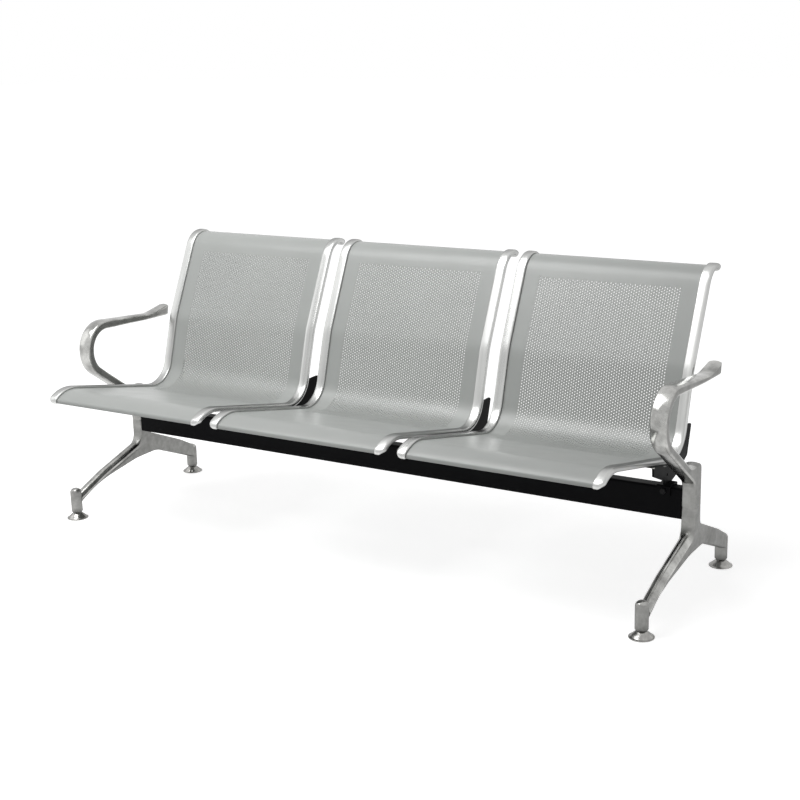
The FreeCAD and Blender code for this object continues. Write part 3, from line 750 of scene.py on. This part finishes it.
def leg_solid(side, edge):
    """The leg: a plate whose front limb has a round polished back, and two posts."""
    outer, inner = cornered(LEG_TOP), cornered(LEG_BOTTOM)
    a, b = marks(outer), marks(inner)
    reach = np.linspace(0, b[-1], 600)
    below = np.interp([30, 38, 45, 58, 63, 67], follow(inner, reach)[0][:, 0], reach)
    keys = [
        (a[0], b[0]),
        (a[3], below[0]),
        (a[4], below[1]),
        (a[5], below[2]),
        (a[7], below[3]),
        (a[9], below[4]),
        (a[10], below[5]),
        (a[-1], b[-1]),
    ]

    def shape(flat, gaps):
        y, z = flat[:, :, 0], flat[:, :, 1]
        gap = np.minimum(gaps[0], gaps[1])
        front, rear = 36 - y, y - 75
        sides = np.minimum(np.where(y > 20, -front, 1e3), np.where(y < 95, -rear, 1e3))
        gap = np.where(z > 195, sides, gap)
        half = 16 + smooth(1 - np.abs(y - 55) / 200) + smooth((z - 160) / 22)
        plain = rounded(np.maximum(gap, 0), half, edge)
        back = rounded(gaps[0], half, LEG_RIDGE)
        groove = 1.6 * np.exp(-(((gaps[0] - LEG_RIDGE - 2) / 1.6) ** 2))
        ridge = np.minimum(back - groove, rounded(gaps[1], half, 5))
        weight = smooth((38 - y) / 26) * smooth((194 - z) / 16)
        shine = weight * smooth((LEG_RIDGE + 2 - gaps[0]) / 3)
        return plain * (1 - weight) + ridge * weight, 0 * y, shine

    plate, shine = cast_bar(outer, inner, keys, SIDES[side], shape, 0.9)
    posts = [turned(POST_PROFILE, (SIDES[side] * END_X, y)) for y in FOOT_Y.values()]
    domes = [smooth((points[:, 2] - 80) / 4) for points, _ in posts]
    return joined(plate, *posts), np.concatenate([shine, *domes])


# Posts, studs and pads are turned from profiles of radius and height
def quarter(centre, radius, first, last, count=8):
    """Points of an arc about centre, from one angle to another."""
    angle = np.radians(np.linspace(first, last, count))
    return [(centre[0] + radius * math.cos(a), centre[1] + radius * math.sin(a)) for a in angle]


POST_PROFILE = [
    (0, 84),
    (5.06, 84),
    (5.06, 20),
    (14.6, 20),
    (15.9, 21.3),
    *quarter((3.9, 77), 12, 0, 78, 10),
    (3.2, 89),
    (0, 89),
]
PAD_PROFILE = [
    (0, 0),
    (28.8, 0),
    *quarter((28.9, 1.1), 1.1, -90, 0, 4),
    *quarter((28.9, 2.0), 1.1, 0, 90, 4),
    (27.2, 3.3),
    (26.0, 4.2),
    (23.0, 7.6),
    (20, 10.4),
    (17, 12.8),
    (14.5, 14.8),
    (12.6, 16.5),
    (5.06, 16.5),
    (5.06, 8),
    (0, 8),
]


def stud_solid(side, end, pitch):
    """A threaded rod: its radius is a triangle wave of the height less the turn, in pitches."""
    node = f"{side}_{end}_foot_stud"
    low, high = box_mm(node)
    count = 24
    height = np.arange(low[2], high[2], pitch / 6)
    height[-1] = high[2]
    angle = np.arange(count) * 2 * np.pi / count
    phase = (height[:, None] / pitch - angle / (2 * np.pi)) % 1
    fade = smooth(np.minimum(height - low[2], high[2] - height) / 1.2)[:, None]
    radius = 4.25 + 0.75 * np.abs(2 * phase - 1) * fade
    centre = (low + high) / 2
    x = centre[0] + radius * np.cos(angle)
    y = centre[1] + radius * np.sin(angle)
    z = np.broadcast_to(height[:, None], x.shape)
    return tube(np.stack([x, y, z], -1))


# Materials


def socket(tree, node, name, value):
    """Set an input to a number or colour, or link another node's output to it."""
    target = node.inputs[name]
    if isinstance(value, bpy.types.NodeSocket):
        tree.links.new(value, target)
    else:
        target.default_value = value


def add_node(tree, kind, inputs=None, **options):
    node = tree.nodes.new(kind)
    for name, value in options.items():
        setattr(node, name, value)
    for name, value in (inputs or {}).items():
        socket(tree, node, name, value)
    return node


def new_group(name, inputs, outputs):
    """A shader node group with named sockets, and its input and output nodes."""
    tree = bpy.data.node_groups.new(name, "ShaderNodeTree")
    for label, kind, value in inputs:
        item = tree.interface.new_socket(name=label, in_out="INPUT", socket_type=kind)
        item.default_value = value
    for label, kind in outputs:
        tree.interface.new_socket(name=label, in_out="OUTPUT", socket_type=kind)
    return tree, tree.nodes.new("NodeGroupInput").outputs, tree.nodes.new("NodeGroupOutput")


def stretched_place(tree, stretch):
    """Object coordinates multiplied by a stretch along each axis."""
    spot = add_node(tree, "ShaderNodeTexCoord").outputs["Object"]
    return add_node(tree, "ShaderNodeVectorMath", {0: spot, 1: stretch}, operation="MULTIPLY").outputs[0]


def surface_grain():
    """Fine height and a roughness that drifts: two noises on stretched coordinates."""
    tree, given, result = new_group(
        "Surface grain",
        [
            ("Stretch", "NodeSocketVector", (1, 1, 1)),
            ("Scale", "NodeSocketFloat", 400.0),
            ("Height", "NodeSocketFloat", 0.1),
            ("Low", "NodeSocketFloat", 0.3),
            ("High", "NodeSocketFloat", 0.4),
        ],
        [("Roughness", "NodeSocketFloat"), ("Normal", "NodeSocketVector")],
    )
    spot = stretched_place(tree, given["Stretch"])
    fine = add_node(
        tree, "ShaderNodeTexNoise", {"Vector": spot, "Scale": given["Scale"], "Detail": 3.0, "Roughness": 0.55}
    )
    drift = add_node(tree, "ShaderNodeTexNoise", {"Vector": spot, "Scale": 14.0, "Detail": 2.0})
    spread_out = add_node(
        tree,
        "ShaderNodeMapRange",
        {
            "Value": drift.outputs["Fac"],
            "From Min": 0.3,
            "From Max": 0.7,
            "To Min": given["Low"],
            "To Max": given["High"],
        },
    )
    bump = add_node(
        tree, "ShaderNodeBump", {"Strength": given["Height"], "Distance": 0.0006, "Height": fine.outputs["Fac"]}
    )
    tree.links.new(spread_out.outputs["Result"], result.inputs["Roughness"])
    tree.links.new(bump.outputs["Normal"], result.inputs["Normal"])
    return tree


def mottled_colour():
    """A colour that a cloudy noise darkens by up to its depth."""
    tree, given, result = new_group(
        "Mottled colour",
        [
            ("Colour", "NodeSocketColor", (0.5, 0.5, 0.5, 1)),
            ("Stretch", "NodeSocketVector", (1, 1, 1)),
            ("Scale", "NodeSocketFloat", 30.0),
            ("Depth", "NodeSocketFloat", 0.1),
        ],
        [("Colour", "NodeSocketColor")],
    )
    spot = stretched_place(tree, given["Stretch"])
    cloud = add_node(
        tree, "ShaderNodeTexNoise", {"Vector": spot, "Scale": given["Scale"], "Detail": 5.0, "Roughness": 0.6}
    )
    contrast = add_node(
        tree, "ShaderNodeMapRange", {"Value": cloud.outputs["Fac"], "From Min": 0.35, "From Max": 0.65}
    )
    amount = add_node(
        tree, "ShaderNodeMath", {0: contrast.outputs["Result"], 1: given["Depth"]}, operation="MULTIPLY"
    )
    dark = blend(tree, amount.outputs[0], given["Colour"], (0.02, 0.02, 0.02, 1))
    tree.links.new(dark, result.inputs["Colour"])
    return tree


def blend(tree, factor, first, second, kind="RGBA"):
    """Mix two colours, numbers or vectors."""
    low, high, out = {"RGBA": (6, 7, 2), "FLOAT": (2, 3, 0), "VECTOR": (4, 5, 1)}[kind]
    mix = add_node(tree, "ShaderNodeMix", {0: factor, low: first, high: second}, data_type=kind)
    return mix.outputs[out]


def new_material(name):
    material = bpy.data.materials.new(name)
    material.use_nodes = True
    tree = material.node_tree
    shader = tree.nodes["Principled BSDF"]
    return material, tree, shader


def place_group(tree, name, inputs):
    group = tree.nodes.new("ShaderNodeGroup")
    group.node_tree = bpy.data.node_groups[name]
    for label, value in inputs.items():
        socket(tree, group, label, value)
    return group


def colour4(colour):
    return (*colour, 1.0)


def painted_grazing_shade(tree, colour, rim):
    """Paint shade into a colour where the surface turns away: a painted dark reflection, as metal shows that
    mirrors a dark room.
    """
    facing = add_node(tree, "ShaderNodeLayerWeight", {"Blend": 0.5}).outputs["Facing"]
    painted_shade_amount = add_node(
        tree, "ShaderNodeMapRange", {"Value": facing, "From Min": 0.45, "From Max": 0.95, "To Max": rim}
    )
    return blend(tree, painted_shade_amount.outputs["Result"], colour, (0.03, 0.03, 0.03, 1))


def finish_material(name, colour, metallic, gloss, grain, mottle, stretch=(1, 1, 1), rim=0.0, specular=0.5):
    """A Principled finish whose colour is mottled and whose gloss and grain vary.

    Gloss is the lowest and highest roughness, grain the scale and height of the bump, and
    mottle the scale and depth of the clouds in the colour.  Rim, where given, is how far painted
    shade darkens the colour where the surface turns away, a painted dark reflection.
    """
    found = bpy.data.materials.get(name)
    if found:
        return found
    material, tree, shader = new_material(name)
    shade = place_group(
        tree,
        "Mottled colour",
        {"Colour": colour4(colour), "Stretch": stretch, "Scale": mottle[0], "Depth": mottle[1]},
    ).outputs["Colour"]
    # Painted shade: darken the colour at grazing angles, a painted dark reflection
    if rim:
        shade = painted_grazing_shade(tree, shade, rim)
    bumps = place_group(
        tree,
        "Surface grain",
        {"Stretch": stretch, "Scale": grain[0], "Height": grain[1], "Low": gloss[0], "High": gloss[1]},
    )
    tree.links.new(shade, shader.inputs["Base Color"])
    tree.links.new(bumps.outputs["Roughness"], shader.inputs["Roughness"])
    tree.links.new(bumps.outputs["Normal"], shader.inputs["Normal"])
    shader.inputs["Metallic"].default_value = metallic
    shader.inputs["Specular IOR Level"].default_value = specular
    return material


def cast_material(colour):
    """Cast aluminium: polished where the pieces say so, dull cast skin elsewhere.  The polished colour is
    lighter, partly real polish and partly painted highlight, and deep clouds darken it as a painted reflection;
    painted shade darkens both where the surface turns away.
    """
    name = "Cast aluminium"
    found = bpy.data.materials.get(name)
    if found:
        return found
    material, tree, shader = new_material(name)
    polish = add_node(tree, "ShaderNodeAttribute", attribute_name="polish").outputs["Fac"]
    # Polished faces: a lighter colour, partly real polish and partly painted highlight, with deep dark clouds
    # that are a painted reflection
    bright = colour4([min(1.9 * part, 0.9) for part in colour])
    polish_and_painted_reflection = place_group(tree, "Mottled colour", {"Colour": bright, "Scale": 17.0, "Depth": 0.58})
    dull = place_group(tree, "Mottled colour", {"Colour": colour4(colour), "Scale": 55.0, "Depth": 0.26})
    # Painted shade where the surface turns away, a painted dark reflection
    shade = painted_grazing_shade(tree, blend(tree, polish, dull.outputs["Colour"], polish_and_painted_reflection.outputs["Colour"]), 0.32)
    fine = place_group(tree, "Surface grain", {"Scale": 200.0, "Height": 0.05, "Low": 0.14, "High": 0.26})
    rough = place_group(tree, "Surface grain", {"Scale": 420.0, "Height": 0.40, "Low": 0.42, "High": 0.56})
    gloss = blend(tree, polish, rough.outputs["Roughness"], fine.outputs["Roughness"], "FLOAT")
    grain = blend(tree, polish, rough.outputs["Normal"], fine.outputs["Normal"], "VECTOR")
    tree.links.new(shade, shader.inputs["Base Color"])
    tree.links.new(gloss, shader.inputs["Roughness"])
    tree.links.new(grain, shader.inputs["Normal"])
    shader.inputs["Metallic"].default_value = 1.0
    return material


def black_paint():
    paint = bpy.context.scene.bench_frame.paint
    return finish_material("Black paint", paint, 0.0, (0.35, 0.5), (700.0, 0.15), (30.0, 0.1), specular=0.03)


def plated_steel():
    # rim paints shade where the surface turns away, a painted dark reflection
    return finish_material(
        "Zinc plated steel", (0.45, 0.45, 0.43), 1.0, (0.28, 0.42), (300.0, 0.1), (30.0, 0.15), rim=0.6
    )


def blackened_steel():
    return finish_material(
        "Blackened steel",
        (0.014, 0.014, 0.015),
        0.0,
        (0.35, 0.5),
        (300.0, 0.15),
        (30.0, 0.2),
        specular=0.1,
    )


# Operators


class BENCH_OT_finishes(bpy.types.Operator):
    """Build the node groups that the finishes share"""

    bl_idname = "bench.finishes"
    bl_label = "Shared finishes"

    def execute(self, context):
        surface_grain()
        mottled_colour()
        return {"FINISHED"}


class BENCH_OT_seat_shells(bpy.types.Operator):
    """Build the three perforated shells"""

    bl_idname = "bench.seat_shells"
    bl_label = "Seat shells"

    def execute(self, context):
        settings = context.scene.bench_seat
        coat = finish_material("Powder coat", settings.colour, 0.0, (0.30, 0.38), (900.0, 0.12), (6.0, 0.05))
        sheet = {
            "thick": settings.sheet * 1000,
            "hole": settings.hole * 1000,
            "pitch": settings.pitch * 1000,
            "columns": settings.columns,
            "rows": settings.rows,
        }
        for seat in SEATS:
            node = f"{seat}_seat_shell"
            solid = perforated_sheet(seat, sheet)
            new_piece(f"{seat}_perforated_shell", solid, coat, "bench", node)
        return {"FINISHED"}


class BENCH_OT_seat_rails(bpy.types.Operator):
    """Build the chromed rails at the sides of the shells"""

    bl_idname = "bench.seat_rails"
    bl_label = "Seat rails"

    def execute(self, context):
        colour = context.scene.bench_seat.rail_colour
        # The last value paints shade along the rails' edges where they turn away: painted dark outlines
        chrome = finish_material(
            "Chromed rail", colour, 1.0, (0.22, 0.34), (150.0, 0.05), (60.0, 0.22), (1.0, 0.05, 0.05), 0.9
        )
        for seat in SEATS:
            for side in SIDES:
                solid = seat_rail(seat, side)
                name = f"{seat}_{side}_edge_rail"
                new_piece(name, solid, chrome, "bench", f"{seat}_seat_{side}_rail", 28)
        return {"FINISHED"}


class BENCH_OT_beam(bpy.types.Operator):
    """Build the beam and paint the brackets"""

    bl_idname = "bench.beam"
    bl_label = "Beam and brackets"

    def execute(self, context):
        paint = black_paint()
        new_piece("cross_beam", beam_tube(), paint, "bench", "beam")
        brackets = [f"{seat}_seat_{side}_bracket" for seat in SEATS for side in SIDES]
        finish_nodes(brackets, paint)
        return {"FINISHED"}


class BENCH_OT_castings(bpy.types.Operator):
    """Build the cast arms and legs"""

    bl_idname = "bench.castings"
    bl_label = "Arms and legs"

    def execute(self, context):
        settings = context.scene.bench_frame
        metal = cast_material(settings.casting)
        edge = settings.edge * 1000
        for side in SIDES:
            for kind, make in (("arm", arm_solid), ("leg", leg_solid)):
                solid, polish = make(side, edge)
                name = f"{side}_{kind}"
                new_piece(f"{name}_casting", solid, metal, "bench", name, 50, polish)
        return {"FINISHED"}


class BENCH_OT_feet(bpy.types.Operator):
    """Build the levelling feet: pads and threaded studs"""

    bl_idname = "bench.feet"
    bl_label = "Levelling feet"

    def execute(self, context):
        settings = context.scene.bench_frame
        # rim paints shade where the pads turn away, a painted dark reflection
        plate = finish_material(
            "Plated foot", settings.foot, 1.0, (0.18, 0.32), (300.0, 0.08), (60.0, 0.4), rim=0.7
        )
        zinc = plated_steel()
        for side, hand in SIDES.items():
            for end, y in FOOT_Y.items():
                foot = f"{side}_{end}_foot"
                pad = turned(PAD_PROFILE, (hand * END_X, y))
                new_piece(f"{side}_{end}_pad", pad, plate, foot, f"{foot}_pad")
                stud = stud_solid(side, end, settings.thread * 1000)
                name = f"{side}_{end}_threaded_stud"
                new_piece(name, stud, zinc, f"{side}_{end}_stud", f"{foot}_stud")
        return {"FINISHED"}


class BENCH_OT_fasteners(bpy.types.Operator):
    """Give the bolts, nuts and screws their finishes"""

    bl_idname = "bench.fasteners"
    bl_label = "Fasteners"

    def execute(self, context):
        bolts = [f"{seat}_bracket_{kind}" for seat in SEATS for kind in ("bolts", "nuts")]
        bolts += [f"{side}_{piece}_bolts" for side in SIDES for piece in ("arm", "leg")]
        finish_nodes(bolts, blackened_steel())
        finish_nodes([f"{seat}_rail_screws" for seat in SEATS], plated_steel())
        return {"FINISHED"}


def camera_view(tree):
    """One where a camera, glossy or transmission ray sees the surface, and zero elsewhere."""
    path = add_node(tree, "ShaderNodeLightPath").outputs
    seen = path["Is Camera Ray"]
    for name in ("Is Glossy Ray", "Is Transmission Ray"):
        seen = add_node(tree, "ShaderNodeMath", {0: seen, 1: path[name]}, operation="MAXIMUM").outputs[0]
    return seen


class BENCH_OT_stage(bpy.types.Operator):
    """Set up the floor, lamps and camera"""

    bl_idname = "bench.stage"
    bl_label = "Stage"

    def execute(self, context):
        settings = context.scene.bench_stage
        self.floor()
        self.sky(context, settings)
        self.lamp(context, "Key lamp", (-0.70, -0.85, 2.75), 2.0, settings.key)
        self.lamp(context, "Side lamp", (-3.2, -1.2, 1.8), 2.2, settings.fill)
        self.camera(context, settings)
        context.scene.view_settings.view_transform = "Standard"
        return {"FINISHED"}

    def floor(self):
        """A wide white floor that keeps the bench's shadow and glows more far away."""
        mesh = bpy.data.meshes.new("Floor")
        mesh.from_pydata([(-30, -30, 0), (30, -30, 0), (30, 30, 0), (-30, 30, 0)], [], [(0, 1, 2, 3)])
        material, tree, shader = new_material("Floor white")
        shader.inputs["Base Color"].default_value = (0.80, 0.80, 0.80, 1)
        shader.inputs["Roughness"].default_value = 0.9
        shader.inputs["Specular IOR Level"].default_value = 0.0
        spot = add_node(tree, "ShaderNodeTexCoord").outputs["Object"]
        away = add_node(tree, "ShaderNodeVectorMath", {0: spot}, operation="LENGTH").outputs["Value"]
        level = add_node(
            tree,
            "ShaderNodeMapRange",
            {"Value": away, "From Min": 1.2, "From Max": 4.0, "To Min": 0.79, "To Max": 0.93},
        )
        glow = add_node(
            tree, "ShaderNodeMath", {0: camera_view(tree), 1: level.outputs["Result"]}, operation="MULTIPLY"
        )
        shader.inputs["Emission Color"].default_value = (1, 1, 1, 1)
        tree.links.new(glow.outputs[0], shader.inputs["Emission Strength"])
        mesh.materials.append(material)
        floor = bpy.data.objects.new("Floor", mesh)
        bpy.context.scene.collection.objects.link(floor)

    def sky(self, context, settings):
        """Light from all round, stronger from the left; the background itself shows white."""
        world = bpy.data.worlds.new("Studio")
        context.scene.world = world
        world.use_nodes = True
        tree = world.node_tree
        light = tree.nodes["Background"]
        light.inputs["Color"].default_value = (1, 1, 1, 1)
        towards = add_node(tree, "ShaderNodeTexCoord").outputs["Generated"]
        right = add_node(tree, "ShaderNodeSeparateXYZ", {0: towards}).outputs["X"]
        level = add_node(
            tree,
            "ShaderNodeMapRange",
            {
                "Value": right,
                "From Min": -0.8,
                "From Max": 0.0,
                "To Min": settings.sky,
                "To Max": 0.45 * settings.sky,
            },
        )
        tree.links.new(level.outputs["Result"], light.inputs["Strength"])
        shown = add_node(tree, "ShaderNodeBackground", {"Color": (1, 1, 1, 1), "Strength": 1.0})
        mix = add_node(
            tree, "ShaderNodeMixShader", {0: camera_view(tree), 1: light.outputs[0], 2: shown.outputs[0]}
        )
        tree.links.new(mix.outputs[0], tree.nodes["World Output"].inputs["Surface"])

    def lamp(self, context, name, place, size, power):
        """A square lamp that faces the bench's middle."""
        data = bpy.data.lights.new(name, "AREA")
        data.shape = "SQUARE"
        data.size = size
        data.energy = power
        lamp = bpy.data.objects.new(name, data)
        lamp.location = place
        aim = Vector((0, 0, 0.4)) - Vector(place)
        lamp.rotation_euler = aim.to_track_quat("-Z", "Y").to_euler()
        context.scene.collection.objects.link(lamp)

    def camera(self, context, settings):
        """A camera at the photograph's place; back is its reverse viewing direction."""
        azimuth, elevation, roll = settings.azimuth, settings.elevation, settings.roll
        back = Vector(
            (
                math.sin(azimuth) * math.cos(elevation),
                -math.cos(azimuth) * math.cos(elevation),
                math.sin(elevation),
            )
        )
        level = Vector((math.cos(azimuth), math.sin(azimuth), 0))
        upward = back.cross(level)
        right = level * math.cos(roll) + upward * math.sin(roll)
        top = upward * math.cos(roll) - level * math.sin(roll)
        data = bpy.data.cameras.new("Camera")
        data.lens = settings.lens
        data.sensor_width = 36
        data.clip_end = 100
        camera = bpy.data.objects.new("Camera", data)
        turn = Matrix((right, top, back)).transposed().to_4x4()
        camera.matrix_world = Matrix.Translation(Vector(settings.place)) @ turn
        context.scene.collection.objects.link(camera)
        context.scene.camera = camera


OPERATORS = (
    BENCH_OT_finishes,
    BENCH_OT_seat_shells,
    BENCH_OT_seat_rails,
    BENCH_OT_beam,
    BENCH_OT_castings,
    BENCH_OT_feet,
    BENCH_OT_fasteners,
    BENCH_OT_stage,
)


class BENCH_PT_panel(bpy.types.Panel):
    """Lists the bench's settings and pieces"""

    bl_idname = "BENCH_PT_panel"
    bl_label = "Bench"
    bl_space_type = "VIEW_3D"
    bl_region_type = "UI"
    bl_category = "Bench"

    def draw(self, context):
        for group in (context.scene.bench_seat, context.scene.bench_frame, context.scene.bench_stage):
            column = self.layout.column()
            for name in group.__annotations__:
                column.prop(group, name)
        for operator in OPERATORS:
            self.layout.operator(operator.bl_idname)


SETTINGS = {
    "bench_seat": BenchSeatSettings,
    "bench_frame": BenchFrameSettings,
    "bench_stage": BenchStageSettings,
}


def register():
    for kind in (*SETTINGS.values(), *OPERATORS, BENCH_PT_panel):
        bpy.utils.register_class(kind)
    for name, kind in SETTINGS.items():
        setattr(bpy.types.Scene, name, bpy.props.PointerProperty(type=kind))


def unregister():
    for name in SETTINGS:
        delattr(bpy.types.Scene, name)
    for kind in (BENCH_PT_panel, *reversed(OPERATORS), *reversed(SETTINGS.values())):
        bpy.utils.unregister_class(kind)


def main():
    """Build everything in order."""
    register()
    for operator in OPERATORS:
        getattr(bpy.ops.bench, operator.bl_idname.split(".")[1])()


if __name__ == "__main__":
    main()
